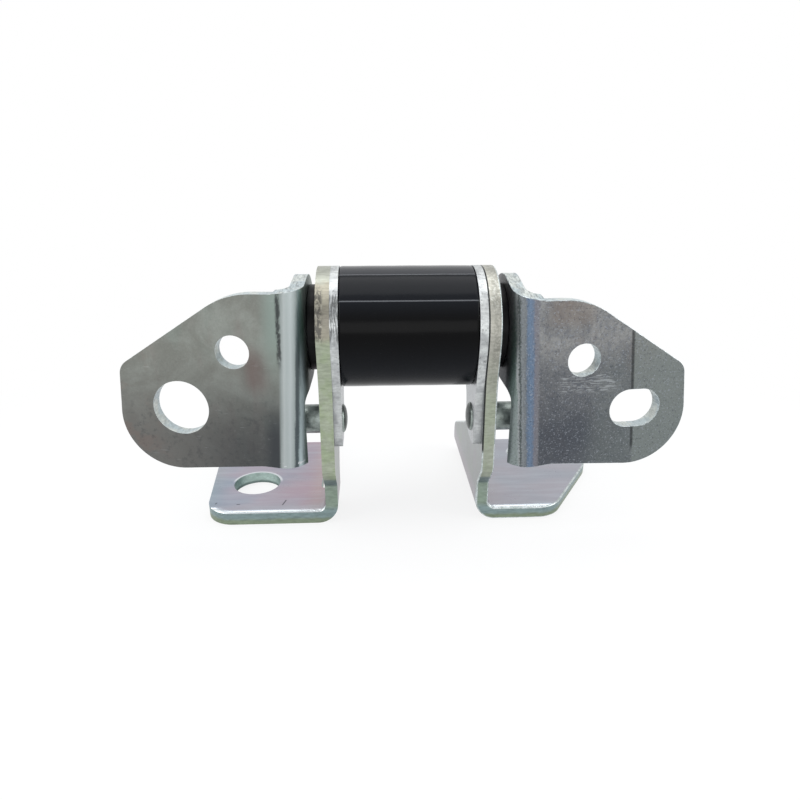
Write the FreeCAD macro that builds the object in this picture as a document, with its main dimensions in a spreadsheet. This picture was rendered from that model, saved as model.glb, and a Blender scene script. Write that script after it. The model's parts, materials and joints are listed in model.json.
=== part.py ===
import FreeCAD
import Part
import Sketcher
import math
import os
import re
from FreeCAD import Placement, Rotation, Vector

# Heavy door hinge. Two L brackets stand on their feet and carry a cross barrel between two link
# plates. A pin through the barrel turns in bushes and carries two folded wings, one at each end.
# X runs along the pin, -Y is the side the wings face, Z is up. The feet stand on Z = 0.
# Every piece is drawn about the pin's axis, then lifted by pivot_height and moved by pivot_front.

SIZES = (
    # Stack along the pin, from the middle outwards
    ("pivot_height", 62.5, "pin axis above the underside of the feet"),
    ("pivot_front", 11.6, "pin axis in front of the origin, which is under the middle of the hinge"),
    ("barrel_length", 40.0, "between the two link plates"),
    ("link_sheet", 2.4, "link plate thickness"),
    ("bracket_sheet", 4.0, "bracket sheet thickness"),
    ("washer_thickness", 2.95, "spacer washer"),
    ("running_gap", 0.05, "end play between bracket and washer"),
    ("wing_sheet", 4.0, "wing sheet thickness"),
    # Barrel
    ("barrel_radius", 18.4, "moulded barrel cover"),
    ("barrel_inset", 0.15, "cover end back from the link plate"),
    ("cover_wall", 3.4, "wall of the cover"),
    ("tube_wall", 4.0, "wall of the spacer tube"),
    # Pin, bushes and washers
    ("pin_radius", 6.0, "hinge pin"),
    ("pin_clearance", 0.04, "running clearance in the bushes, on the radius"),
    ("bush_wall", 2.0, "bush wall"),
    ("head_radius", 9.0, "formed head of the pin"),
    ("head_height", 3.2, "formed head of the pin"),
    ("washer_radius", 13.0, "spacer washer"),
    ("washer_clearance", 0.2, "washer bore over the pin, on the radius"),
    # Stop pins
    ("stop_front", 7.5, "stop pin axis in front of the hinge pin"),
    ("stop_below", 8.9, "stop pin axis below the barrel's lowest line"),
    ("stop_radius", 4.5, "stop pin"),
    ("stop_proud", 1.4, "stop pin inside the link plate"),
    ("stop_crown", 0.9, "bevel on its inner end"),
    ("stop_reach", 7.0, "stop pin beyond the bracket"),
    ("stop_edge", 0.5, "bevel on its outer end"),
    # Link plates
    ("tail_front", 6.6, "tail edge in front of the stop pin axis"),
    ("tail_back", 8.7, "tail edge behind the stop pin axis"),
    ("tail_bottom", 7.2, "tail end below the stop pin axis"),
    ("tail_neck", 6.0, "where the tail's front edge turns down, above the stop pin axis"),
    ("tail_neck_round", 16.0, "round there"),
    ("tail_heel_round", 9.0, "round at the tail's back corner"),
    ("tail_toe_round", 1.6, "round at the tail's front corner"),
    ("tail_armpit", 5.0, "where the tail's back edge turns to the head, above the stop pin axis"),
    ("tail_armpit_round", 8.0, "round there"),
    # Bracket arms
    ("waist_in", 2.2, "front edge at the waist, behind the head's foremost line"),
    ("waist_over", 4.4, "waist above the barrel's lowest line"),
    ("waist_round", 16.0, "round there"),
    ("knee_front", 16.8, "front edge at the knee"),
    ("knee_drop", 27.0, "knee below the pin axis"),
    ("knee_round", 20.0, "round there"),
    ("chin_front", 17.6, "front edge where it turns back"),
    ("chin_drop", 41.5, "that corner below the pin axis"),
    ("chin_round", 4.0, "round there"),
    ("toe_drop", 49.0, "where the turned-back edge meets the foot's front, below the pin axis"),
    ("toe_round", 2.5, "round there"),
    ("shoulder_back", 15.5, "back edge at the shoulder"),
    ("shoulder_drop", 24.0, "shoulder below the pin axis"),
    ("shoulder_round", 12.0, "round there"),
    ("left_root_back", 4.0, "left arm's back edge where it turns straight down, behind the pin axis"),
    ("left_root_height", 13.0, "that corner above the foot's underside"),
    ("left_notch_clear", 0.2, "between the left bend and the notch behind it"),
    ("left_notch_round", 3.0, "round in the notch's corner"),
    ("outline_height", 12.0, "how high over the underside the feet's outlines cut"),
    ("right_root_back", 14.0, "right arm's back edge at its gusset, behind the pin axis"),
    ("right_root_height", 24.5, "that corner above the foot's underside"),
    ("right_rim_height", 12.4, "right arm's gusset at the foot's back edge"),
    ("root_round", 6.0, "round between arm and gusset"),
    ("rim_round", 5.0, "round at the gusset's back end"),
    ("bracket_bend", 2.6, "inside radius of the bracket's fold"),
    # Feet
    ("foot_front", 11.3, "front edge of both feet"),
    ("foot_back", 43.5, "back edge of both feet"),
    ("foot_back_round", 5.0, "round at the back corners"),
    ("left_reach", 71.0, "outer edge of the left foot at its back"),
    ("left_taper", 6.0, "how much nearer that edge is at its front"),
    ("left_corner_round", 9.5, "round at its front corner"),
    ("left_hole_in", 19.0, "left foot hole, in from the foot's outer edge at its back"),
    ("left_hole_back", 9.4, "left foot hole behind the pin axis"),
    ("right_reach", 70.0, "outer edge of the right foot"),
    ("cut_in", 21.4, "where the slanted cut leaves its front edge, in from its outer edge"),
    ("cut_back", 21.0, "where the slanted cut meets its outer edge"),
    ("cut_start_round", 10.0, "round at the start of the cut"),
    ("cut_end_round", 15.0, "round at the end of the cut"),
    ("right_hole_in", 20.0, "right foot hole, in from the foot's outer edge"),
    ("right_hole_back", 29.0, "right foot hole behind the pin axis"),
    ("foot_hole", 8.0, "radius of both foot holes"),
    # Wings, measured along the wing from the inner face of its ear
    ("ear_radius", 16.0, "round ear on the pin"),
    ("wing_face", 21.02, "wing's front face in front of the pin axis, at the ear's inner face"),
    ("wing_sweep", 6.0, "degrees that the wing slants back"),
    ("wing_bend", 4.35, "inside radius of the wing's fold"),
    ("curl_gap", 4.0, "between the folded edge below the ear and the stop pin"),
    ("armpit_round", 4.0, "round between the ear and that edge"),
    ("crest_out", 8.0, "where the top edge's straight run starts"),
    ("crest_relief", 0.4, "how far the cut over the fold leans back to the ear"),
    ("slope_out", 20.8, "where the top edge starts to fall"),
    ("slope_round", 24.0, "round there"),
    ("tip_round", 5.0, "round at the outer top corner"),
    ("bottom_round", 16.5, "round at the outer bottom corner"),
    ("heel_out", 14.0, "where the bottom edge steps up to the fold"),
    ("heel_round", 8.0, "round there"),
    ("left_top", 13.9, "left wing's top edge above the pin axis"),
    ("left_tip_out", 53.25, "left wing's outer top corner"),
    ("left_tip_drop", 6.85, "that corner below the pin axis"),
    ("left_bottom_out", 56.7, "left wing's outer bottom corner"),
    ("left_bottom_drop", 39.6, "that corner below the pin axis"),
    ("left_heel_drop", 37.5, "left wing's bottom edge at the step"),
    ("left_curl_drop", 38.3, "left wing's bottom edge at the fold"),
    ("left_small_out", 20.3, "left small hole"),
    ("left_small_drop", 2.4, "left small hole below the pin axis"),
    ("left_small_radius", 4.85, "left small hole"),
    ("left_large_out", 36.9, "left large hole"),
    ("left_large_drop", 19.3, "left large hole below the pin axis"),
    ("left_large_radius", 8.15, "left large hole"),
    ("right_top", 11.5, "right wing's top edge above the pin axis"),
    ("right_tip_out", 52.9, "right wing's outer top corner"),
    ("right_tip_drop", 8.83, "that corner below the pin axis"),
    ("right_bottom_out", 57.9, "right wing's outer bottom corner"),
    ("right_bottom_drop", 41.3, "that corner below the pin axis"),
    ("right_heel_drop", 38.6, "right wing's bottom edge at the step"),
    ("right_curl_drop", 39.6, "right wing's bottom edge at the fold"),
    ("right_small_out", 21.1, "right small hole"),
    ("right_small_drop", 6.0, "right small hole below the pin axis"),
    ("right_small_radius", 4.9, "right small hole"),
    ("right_slot_out", 38.8, "right slot"),
    ("right_slot_drop", 21.7, "right slot below the pin axis"),
    ("right_slot_half_width", 7.9, "half the slot's width"),
    ("right_slot_half_height", 5.95, "half the slot's height, and its end radius"),
    # Room for cutting tools
    ("spare", 12.0, "how far blanks and cuts run past the finished outline"),
)

document = FreeCAD.newDocument("DoorHinge")
sheet = document.addObject("Spreadsheet::Sheet", "Sizes")
for row, (alias, value, meaning) in enumerate(SIZES, start=1):
    sheet.set("A%d" % row, meaning)
    sheet.set("B%d" % row, str(value))
    sheet.setAlias("B%d" % row, alias)
document.recompute()

WORDS = re.compile(r"\b(%s)\b" % "|".join(alias for alias, value, meaning in SIZES))

# Places along the pin that several pieces share
HALF_BARREL = "barrel_length / 2"
ARM_IN = HALF_BARREL + " + link_sheet"
ARM_OUT = ARM_IN + " + bracket_sheet"
EAR_IN = ARM_OUT + " + running_gap + washer_thickness"
EAR_OUT = EAR_IN + " + wing_sheet"
BUSH_RADIUS = "pin_radius + pin_clearance + bush_wall"
FOOT_TOP = "bracket_sheet - pivot_height"
STOP_DROP = "(barrel_radius + stop_below)"
TUBE_RADIUS = "barrel_radius - cover_wall"

SIDES = (("left", -1), ("right", 1))


def bound(expression):
    """Return the expression with each size's name pointing at the sheet."""
    return WORDS.sub(r"Sizes.\1", expression)


def number(expression):
    """Return the present value of an expression of sizes."""
    return float(sheet.evalExpression(bound(expression)))


def signed(side, expression):
    """Return the expression for the right side, or its negative for the left side."""
    return "(%s)" % expression if side > 0 else "-(%s)" % expression


def new_body(name):
    """Return an empty body, placed so that its origin is on the pin's axis."""
    body = document.addObject("PartDesign::Body", name)
    body.Label = name
    body.setExpression(".Placement.Base.y", bound("-pivot_front"))
    body.setExpression(".Placement.Base.z", bound("pivot_height"))
    return body


def new_sketch(body, name, role, shift="0"):
    """Return a sketch on one of the body's own origin planes, moved along the plane's normal."""
    plane = [item for item in body.Origin.OriginFeatures if item.Role == role][0]
    sketch = body.newObject("Sketcher::SketchObject", name)
    sketch.AttachmentSupport = [(plane, "")]
    sketch.MapMode = "FlatFace"
    sketch.setExpression(".AttachmentOffset.Base.z", bound(shift))
    return sketch


def wing_sketch(body, name, side):
    """Return a sketch on the wing's front face: x runs along the wing from the ear's inner face."""
    sketch = new_sketch(body, name, "XZ_Plane", "wing_face")
    sketch.AttachmentOffset = Placement(Vector(), Rotation(Vector(0, side, 0), number("wing_sweep")))
    sketch.setExpression(".AttachmentOffset.Base.x", bound(signed(side, EAR_IN)))
    sketch.setExpression(".AttachmentOffset.Base.z", bound("wing_face"))
    sketch.setExpression(".AttachmentOffset.Rotation.Angle", bound("wing_sweep"))
    return sketch


def fix(sketch, geometry, end, across, up):
    """Hold one point of a sketch at two expressions from the sketch's origin."""
    for kind, expression in (("DistanceX", across), ("DistanceY", up)):
        index = sketch.addConstraint(Sketcher.Constraint(kind, -1, 1, geometry, end, number(expression)))
        sketch.setExpression("Constraints[%d]" % index, bound(expression))


def fix_radius(sketch, geometry, expression):
    """Hold the radius of a circle or an arc."""
    index = sketch.addConstraint(Sketcher.Constraint("Radius", geometry, number(expression)))
    sketch.setExpression("Constraints[%d]" % index, bound(expression))


def circle(sketch, across, up, radius):
    """Draw a circle."""
    place = Vector(number(across), number(up), 0)
    index = sketch.addGeometry(Part.Circle(place, Vector(0, 0, 1), number(radius)))
    fix(sketch, index, 3, across, up)
    fix_radius(sketch, index, radius)


def turn(vector, degrees):
    """Return the vector turned anticlockwise."""
    return Rotation(Vector(0, 0, 1), degrees).multVec(vector)


def arc(centre, start, finish):
    """Return the anticlockwise arc about a centre between two points on it."""
    ring = Part.Circle(centre, Vector(0, 0, 1), (start - centre).Length)
    first = math.atan2(start.y - centre.y, start.x - centre.x)
    last = math.atan2(finish.y - centre.y, finish.x - centre.x)
    return Part.ArcOfCircle(ring, first, last if last > first else last + 2 * math.pi)


def outline(sketch, corners, head=None):
    """Draw a closed outline of straight edges with rounded corners.

    corners is a list of (across, up, radius) expressions, anticlockwise, radius None for a sharp
    corner. head is the radius of a round head about the sketch's origin, between the last corner
    and the first, which both their edges touch.
    """
    points = [Vector(number(across), number(up), 0) for across, up, radius in corners]
    count = len(points)
    edges = []
    for index in range(count - 1 if head else count):
        edges.append([points[index], points[(index + 1) % count]])
    if head:
        reach = number(head)
        opening = math.degrees(math.acos(reach / points[0].Length))
        closing = math.degrees(math.acos(reach / points[-1].Length))
        leave = turn(points[0], -opening) * (reach / points[0].Length)
        arrive = turn(points[-1], closing) * (reach / points[-1].Length)
        edges.insert(0, [leave, points[0]])
        edges.append([points[-1], arrive])
    shift = 1 if head else 0
    joins = []
    for index, (across, up, radius) in enumerate(corners):
        before = edges[(index + shift - 1) % len(edges)]
        after = edges[(index + shift) % len(edges)]
        if radius is None:
            joins.append(None)
            continue
        back = (before[0] - points[index]).normalize()
        ahead = (after[1] - points[index]).normalize()
        half = back.getAngle(ahead) / 2
        size = number(radius)
        centre = points[index] + (back + ahead).normalize() * (size / math.sin(half))
        first = points[index] + back * (size / math.tan(half))
        last = points[index] + ahead * (size / math.tan(half))
        joins.append((centre, first, last, back.cross(ahead).z < 0))
    for index, join in enumerate(joins):
        if join:
            edges[(index + shift - 1) % len(edges)][1] = join[1]
            edges[(index + shift) % len(edges)][0] = join[2]
    lines = [sketch.addGeometry(Part.LineSegment(start, finish)) for start, finish in edges]
    for index, (across, up, radius) in enumerate(corners):
        before = lines[(index + shift - 1) % len(lines)]
        after = lines[(index + shift) % len(lines)]
        if joins[index] is None:
            sketch.addConstraint(Sketcher.Constraint("Coincident", before, 2, after, 1))
            fix(sketch, after, 1, across, up)
            continue
        centre, first, last, left = joins[index]
        bend = sketch.addGeometry(arc(centre, first, last) if left else arc(centre, last, first))
        near, far = (1, 2) if left else (2, 1)
        sketch.addConstraint(Sketcher.Constraint("Tangent", before, 2, bend, near))
        sketch.addConstraint(Sketcher.Constraint("Tangent", after, 1, bend, far))
        fix_radius(sketch, bend, radius)
        mark = sketch.addGeometry(Part.Point(points[index]), True)
        sketch.addConstraint(Sketcher.Constraint("PointOnObject", mark, 1, before))
        sketch.addConstraint(Sketcher.Constraint("PointOnObject", mark, 1, after))
        fix(sketch, mark, 1, across, up)
    if head:
        crown = sketch.addGeometry(arc(Vector(), arrive, leave))
        sketch.addConstraint(Sketcher.Constraint("Tangent", lines[-1], 2, crown, 1))
        sketch.addConstraint(Sketcher.Constraint("Tangent", lines[0], 1, crown, 2))
        fix(sketch, crown, 3, "0", "0")
        fix_radius(sketch, crown, head)


def slot(sketch, across, up, half_width, half_height):
    """Draw a level slot with round ends."""
    middle = Vector(number(across), number(up), 0)
    run = number(half_width) - number(half_height)
    rise = Vector(0, number(half_height), 0)
    far = middle + Vector(run, 0, 0)
    near = middle - Vector(run, 0, 0)
    below = sketch.addGeometry(Part.LineSegment(near - rise, far - rise))
    right = sketch.addGeometry(arc(far, far - rise, far + rise))
    above = sketch.addGeometry(Part.LineSegment(far + rise, near + rise))
    left = sketch.addGeometry(arc(near, near + rise, near - rise))
    for one, other in ((below, right), (above, left)):
        sketch.addConstraint(Sketcher.Constraint("Tangent", one, 2, other, 1))
    for one, other in ((right, above), (left, below)):
        sketch.addConstraint(Sketcher.Constraint("Tangent", one, 2, other, 1))
    fix(sketch, right, 3, "%s + %s - %s" % (across, half_width, half_height), up)
    level = sketch.addConstraint(Sketcher.Constraint("DistanceX", -1, 1, left, 3, near.x))
    sketch.setExpression("Constraints[%d]" % level, bound("%s - %s + %s" % (across, half_width, half_height)))
    fix_radius(sketch, right, half_height)


def pad(body, sketch, length):
    """Raise a sketch along its plane's normal."""
    feature = body.newObject("PartDesign::Pad", sketch.Name + "_pad")
    feature.Profile = sketch
    feature.setExpression("Length", bound(length))
    document.recompute()
    return feature


def cut(body, sketch, length, both_ways=False):
    """Cut a sketch against its plane's normal, or both ways, and see that metal went."""
    before = body.Shape.Volume
    feature = body.newObject("PartDesign::Pocket", sketch.Name + "_cut")
    feature.Profile = sketch
    if both_ways:
        feature.SideType = "Symmetric"
    feature.setExpression("Length", bound(length))
    document.recompute()
    if body.Shape.Volume >= before:
        raise RuntimeError(sketch.Name + " cuts nothing")
    return feature


def trim(body, name, role, shift, length, corners, head=None):
    """Cut away everything outside an outline."""
    sketch = new_sketch(body, name, role, shift)
    outline(sketch, corners, head)
    frame_round(sketch)
    return cut(body, sketch, length)


def frame_round(sketch):
    """Draw a large square round a sketch's outline, so that a cut takes what lies between them."""
    reach = "2 * (right_reach + foot_back + spare)"
    low = "-(%s)" % reach
    outline(sketch, ((low, low, None), (reach, low, None), (reach, reach, None), (low, reach, None)))


def turned(name, corners):
    """Return a body turned about the X axis from the sharp corners of its half section."""
    body = new_body(name)
    sketch = new_sketch(body, name + "_section", "XZ_Plane")
    outline(sketch, [(along, radius, None) for along, radius in corners])
    feature = body.newObject("PartDesign::Revolution", name + "_turned")
    feature.Profile = sketch
    feature.ReferenceAxis = (sketch, ["H_Axis"])
    feature.Angle = 360
    document.recompute()
    return body


def ring(name, near, far, bore, radius):
    """Return a ring about the X axis between two places along it."""
    return turned(name, ((near, bore), (far, bore), (far, radius), (near, radius)))


def bracket(name, side, foot, back, hole):
    """Return one L bracket: a folded sheet, trimmed from the side and from above, and bored."""
    body = new_body(name)
    reach = "%s_reach" % name.split("_")[1]
    section = new_sketch(body, name + "_section", "XZ_Plane", "-(foot_back + spare)")
    corners = [
        (signed(side, ARM_IN), "barrel_radius + spare", None),
        (signed(side, ARM_IN), "-pivot_height", "bracket_bend + bracket_sheet"),
        (signed(side, reach + " + spare"), "-pivot_height", None),
        (signed(side, reach + " + spare"), FOOT_TOP, None),
        (signed(side, ARM_OUT), FOOT_TOP, "bracket_bend"),
        (signed(side, ARM_OUT), "barrel_radius + spare", None),
    ]
    outline(section, corners if side > 0 else corners[::-1])
    pad(body, section, "foot_back + chin_front + 2 * spare")
    edge = "2 * (right_reach + foot_back)"
    trim(body, name + "_side", "YZ_Plane", "%s / 2" % edge, edge, (
        ("waist_in - barrel_radius", "waist_over - barrel_radius", "waist_round"),
        ("-knee_front", "-knee_drop", "knee_round"),
        ("-chin_front", "-chin_drop", "chin_round"),
        ("-foot_front", "-toe_drop", "toe_round"),
        ("-foot_front", "-pivot_height - spare", None),
        ("foot_back", "-pivot_height - spare", None),
    ) + back + (("shoulder_back", "-shoulder_drop", "shoulder_round"),), "barrel_radius")
    plan = [("0", "-foot_front", None)] + [(signed(side, across), up, radius) for across, up, radius in foot]
    trim(body, name + "_plan", "XY_Plane", "outline_height - pivot_height", "outline_height + spare",
         plan if side > 0 else plan[::-1])
    bores = new_sketch(body, name + "_bores", "YZ_Plane")
    circle(bores, "0", "0", BUSH_RADIUS)
    circle(bores, "-stop_front", "-" + STOP_DROP, "stop_radius")
    cut(body, bores, "2 * (%s + spare)" % ARM_OUT, True)
    mounting = new_sketch(body, name + "_hole", "XY_Plane", FOOT_TOP + " + spare")
    circle(mounting, signed(side, hole[0]), hole[1], "foot_hole")
    cut(body, mounting, "bracket_sheet + 2 * spare")
    return body


def link_plate(name, side):
    """Return one flat link plate between the barrel and a bracket."""
    body = new_body(name)
    shape = new_sketch(body, name + "_outline", "YZ_Plane",
                       HALF_BARREL if side > 0 else "-(%s)" % ARM_IN)
    outline(shape, (
        ("-stop_front - tail_front", "tail_neck - " + STOP_DROP, "tail_neck_round"),
        ("-stop_front - tail_front", "-tail_bottom - " + STOP_DROP, "tail_toe_round"),
        ("tail_back - stop_front", "-tail_bottom - " + STOP_DROP, "tail_heel_round"),
        ("tail_back - stop_front", "tail_armpit - " + STOP_DROP, "tail_armpit_round"),
    ), "barrel_radius")
    circle(shape, "0", "0", BUSH_RADIUS)
    circle(shape, "-stop_front", "-" + STOP_DROP, "stop_radius")
    pad(body, shape, "link_sheet")
    return body


def stop_pin(name, side):
    """Return one stop pin, pressed through both plates, with a crowned inner end."""
    inner = HALF_BARREL + " - stop_proud"
    outer = ARM_OUT + " + stop_reach"
    corners = [
        (signed(side, inner), "0"),
        (signed(side, outer), "0"),
        (signed(side, outer), "stop_radius - stop_edge"),
        (signed(side, outer + " - stop_edge"), "stop_radius"),
        (signed(side, inner + " + stop_crown"), "stop_radius"),
        (signed(side, inner), "stop_radius - stop_crown"),
    ]
    body = turned(name, corners if side > 0 else corners[::-1])
    body.setExpression(".Placement.Base.y", bound("-pivot_front - stop_front"))
    body.setExpression(".Placement.Base.z", bound("pivot_height - " + STOP_DROP))
    document.recompute()
    return body


def wing(name, side):
    """Return one wing: a folded sheet with a round ear on the pin and a flat with two holes."""
    body = new_body(name)
    word = name.split("_")[1]
    section = new_sketch(body, name + "_section", "XY_Plane", "-(%s_bottom_drop + spare)" % word)
    far = "%s_bottom_out + spare" % word
    corners = [
        (EAR_IN, "ear_radius + spare", None),
        (EAR_IN, "-wing_face", "wing_bend + wing_sheet"),
        ("%s + (%s) * cos(wing_sweep)" % (EAR_IN, far), "-wing_face + (%s) * sin(wing_sweep)" % far, None),
        ("%s + (%s) * cos(wing_sweep) - wing_sheet * sin(wing_sweep)" % (EAR_IN, far),
         "-wing_face + (%s) * sin(wing_sweep) + wing_sheet * cos(wing_sweep)" % far, None),
        (EAR_OUT, "-wing_face + wing_sheet / cos(wing_sweep) + wing_sheet * tan(wing_sweep)", "wing_bend"),
        (EAR_OUT, "ear_radius + spare", None),
    ]
    corners = [(signed(side, across), up, radius) for across, up, radius in corners]
    outline(section, corners if side > 0 else corners[::-1])
    pad(body, section, "%s_bottom_drop + ear_radius + 2 * spare" % word)
    depth = "wing_sheet + wing_bend"
    edge = "stop_front + stop_radius + curl_gap"
    start = "%s + %s" % (EAR_IN, depth) if side > 0 else "-(%s)" % EAR_IN
    trim(body, name + "_ear", "YZ_Plane", start, depth, (
        ("-wing_face", "%s_top" % word, None),
        ("-wing_face - spare", "%s_top" % word, None),
        ("-wing_face - spare", "-%s_bottom_drop - spare" % word, None),
        ("-(%s)" % edge, "-%s_bottom_drop - spare" % word, None),
        ("-(%s)" % edge, "-ear_radius", "armpit_round"),
    ), "ear_radius")
    face = wing_sketch(body, name + "_face", side)
    corners = [
        ("-spare", "ear_radius + spare / 2", None),
        ("-spare", "-%s_curl_drop" % word, None),
        ("heel_out - heel_round", "-%s_curl_drop" % word, None),
        ("heel_out", "-%s_heel_drop" % word, "heel_round"),
        ("%s_bottom_out" % word, "-%s_bottom_drop" % word, "bottom_round"),
        ("%s_tip_out" % word, "-%s_tip_drop" % word, "tip_round"),
        ("slope_out", "%s_top" % word, "slope_round"),
        ("crest_out", "%s_top" % word, None),
        ("crest_out - crest_relief", "ear_radius + spare / 2", None),
    ]
    corners = [(signed(side, across), up, radius) for across, up, radius in corners]
    outline(face, corners if side > 0 else corners[::-1])
    frame_round(face)
    cut(body, face, "2 * (wing_face + ear_radius + foot_back)", True)
    holes = wing_sketch(body, name + "_holes", side)
    circle(holes, signed(side, "%s_small_out" % word), "-%s_small_drop" % word, "%s_small_radius" % word)
    if side < 0:
        circle(holes, "-left_large_out", "-left_large_drop", "left_large_radius")
    else:
        slot(holes, "right_slot_out", "-right_slot_drop", "right_slot_half_width", "right_slot_half_height")
    cut(body, holes, "4 * wing_sheet", True)
    bore = new_sketch(body, name + "_bore", "YZ_Plane")
    circle(bore, "0", "0", "pin_radius")
    cut(body, bore, "2 * (%s + head_height)" % EAR_OUT, True)
    return body


def hinge_pin(name):
    """Return the pin with its two formed heads outside the ears."""
    far = EAR_OUT + " + head_height"
    half = [(far, "0"), (far, "head_radius"), (EAR_OUT, "head_radius"), (EAR_OUT, "pin_radius")]
    return turned(name, half + [(signed(-1, along), radius) for along, radius in reversed(half)])


def side_ring(name, side, near, far, bore, radius):
    """Return a ring on one side of the middle."""
    ends = (near, far) if side > 0 else (signed(-1, far), signed(-1, near))
    return ring(name, ends[0], ends[1], bore, radius)


# Each bracket's foot from above, its arm's lower back edge from the side, and its hole
NOTCH = ARM_OUT + " + bracket_bend + left_notch_clear"
NOTCH_TOP = "bracket_sheet + bracket_bend + left_notch_clear - pivot_height"
FEET = {
    "left": (
        (
            ("left_reach - left_taper", "-foot_front", "left_corner_round"),
            ("left_reach", "foot_back", "foot_back_round"),
            (NOTCH, "foot_back", None),
            (NOTCH, "left_root_back", "left_notch_round"),
            ("0", "left_root_back", None),
        ),
        (
            ("foot_back", NOTCH_TOP, None),
            ("left_root_back", NOTCH_TOP, None),
            ("left_root_back", "left_root_height - pivot_height", "root_round"),
        ),
        ("left_reach - left_hole_in", "left_hole_back"),
    ),
    "right": (
        (
            ("right_reach - cut_in", "-foot_front", "cut_start_round"),
            ("right_reach", "cut_back", "cut_end_round"),
            ("right_reach", "foot_back", "foot_back_round"),
            ("0", "foot_back", None),
        ),
        (
            ("foot_back", "right_rim_height - pivot_height", "rim_round"),
            ("right_root_back", "right_root_height - pivot_height", "root_round"),
        ),
        ("right_reach - right_hole_in", "right_hole_back"),
    ),
}

bodies = [
    ring("barrel_cover", "barrel_inset - " + HALF_BARREL, HALF_BARREL + " - barrel_inset",
         TUBE_RADIUS, "barrel_radius"),
    ring("barrel_tube", "-(%s)" % HALF_BARREL, HALF_BARREL, TUBE_RADIUS + " - tube_wall", TUBE_RADIUS),
    hinge_pin("hinge_pin"),
]
for word, side in SIDES:
    bodies.append(bracket("bracket_" + word, side, *FEET[word]))
    bodies.append(link_plate("link_plate_" + word, side))
    bodies.append(stop_pin("stop_pin_" + word, side))
    bodies.append(side_ring("pin_bush_" + word, side, HALF_BARREL, ARM_OUT,
                            "pin_radius + pin_clearance", BUSH_RADIUS))
    bodies.append(side_ring("washer_" + word, side, ARM_OUT + " + running_gap", EAR_IN,
                            "pin_radius + washer_clearance", "washer_radius"))
    bodies.append(wing("wing_" + word, side))

document.recompute()
for item in document.Objects:
    if "Invalid" in item.State or "Error" in item.State:
        raise RuntimeError("%s is %s" % (item.Name, item.State))
for body in bodies:
    shape = body.Shape
    if shape.isNull() or not shape.isValid() or len(shape.Solids) != 1:
        raise RuntimeError(body.Label + " is not one sound solid")

os.makedirs("parts", exist_ok=True)
for body in bodies:
    body.Shape.exportStep("parts/%s.step" % body.Label)
    box = body.Shape.BoundBox
    print("%-18s X %7.2f %7.2f  Y %7.2f %7.2f  Z %7.2f %7.2f  volume %9.1f" % (
        body.Label, box.XMin, box.XMax, box.YMin, box.YMax, box.ZMin, box.ZMax, body.Shape.Volume))
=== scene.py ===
import json
import logging
import math
from dataclasses import dataclass
from enum import Enum
from typing import Callable, Iterable, Sequence

import bmesh
import bpy
import numpy as np
from mathutils import Matrix, Vector


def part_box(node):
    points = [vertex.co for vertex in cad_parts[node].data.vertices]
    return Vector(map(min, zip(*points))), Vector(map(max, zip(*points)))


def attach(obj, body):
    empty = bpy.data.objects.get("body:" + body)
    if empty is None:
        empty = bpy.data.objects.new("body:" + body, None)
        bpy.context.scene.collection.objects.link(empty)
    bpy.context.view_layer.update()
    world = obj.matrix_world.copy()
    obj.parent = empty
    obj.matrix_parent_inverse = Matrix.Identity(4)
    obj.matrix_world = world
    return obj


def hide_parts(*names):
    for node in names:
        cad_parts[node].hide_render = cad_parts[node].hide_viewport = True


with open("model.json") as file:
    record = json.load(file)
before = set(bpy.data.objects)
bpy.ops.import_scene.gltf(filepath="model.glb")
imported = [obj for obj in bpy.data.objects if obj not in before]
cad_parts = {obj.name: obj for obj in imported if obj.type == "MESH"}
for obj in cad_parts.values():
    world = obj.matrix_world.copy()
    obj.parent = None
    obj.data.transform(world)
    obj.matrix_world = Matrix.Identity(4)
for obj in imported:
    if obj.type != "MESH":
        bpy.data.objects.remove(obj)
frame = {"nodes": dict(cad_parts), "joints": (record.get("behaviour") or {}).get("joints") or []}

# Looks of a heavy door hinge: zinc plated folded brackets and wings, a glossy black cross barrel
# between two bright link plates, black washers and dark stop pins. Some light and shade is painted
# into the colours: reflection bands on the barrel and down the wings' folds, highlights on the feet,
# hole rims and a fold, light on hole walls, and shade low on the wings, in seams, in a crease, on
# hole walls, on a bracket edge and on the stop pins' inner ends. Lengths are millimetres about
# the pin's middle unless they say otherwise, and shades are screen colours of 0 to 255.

logging.basicConfig(level=logging.INFO, format="%(message)s")
LOG = logging.getLogger("hinge")

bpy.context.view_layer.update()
MM = 0.001
PIVOT = Vector([joint for joint in frame["joints"] if joint["name"] == "door_swing"][0]["pos_m"])
METAL_TONE = (0.66, 0.685, 0.71, 1.0)
WHITE = (1, 1, 1, 1)
RUNS_ALONG = 0.3         # a face runs along an axis when its normal has less than this along it
POINTS_ALONG = 0.5       # and points along an axis when its normal has more than this along it


class Side(Enum):
    """The two ends of the hinge pin."""

    LEFT = -1
    RIGHT = 1

    @property
    def word(self) -> str:
        """The side's word in node names."""
        return self.name.lower()


def colour(*shade: int) -> tuple[float, float, float, float]:
    """Turn a colour of 0 to 255 screen values into linear light.

    Args:
        *shade: Screen red, green and blue.

    Returns:
        Linear red, green, blue and an alpha of one.
    """
    shares = [value / 255 for value in shade]
    return *(share / 12.92 if share <= 0.04045 else ((share + 0.055) / 1.055) ** 2.4 for share in shares), 1.0


def operator(operation: str, swapped: bool = False) -> Callable[["Wire", object], "Wire"]:
    """Make a wire's method of one Math operation.

    Args:
        operation: The Math node's operation.
        swapped: Whether the other value comes first.

    Returns:
        The method.
    """
    def method(wire: "Wire", other: object) -> "Wire":
        """The operation on the wire and the other value."""
        return wire.math(operation, *((other, wire) if swapped else (wire, other)))
    return method


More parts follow.
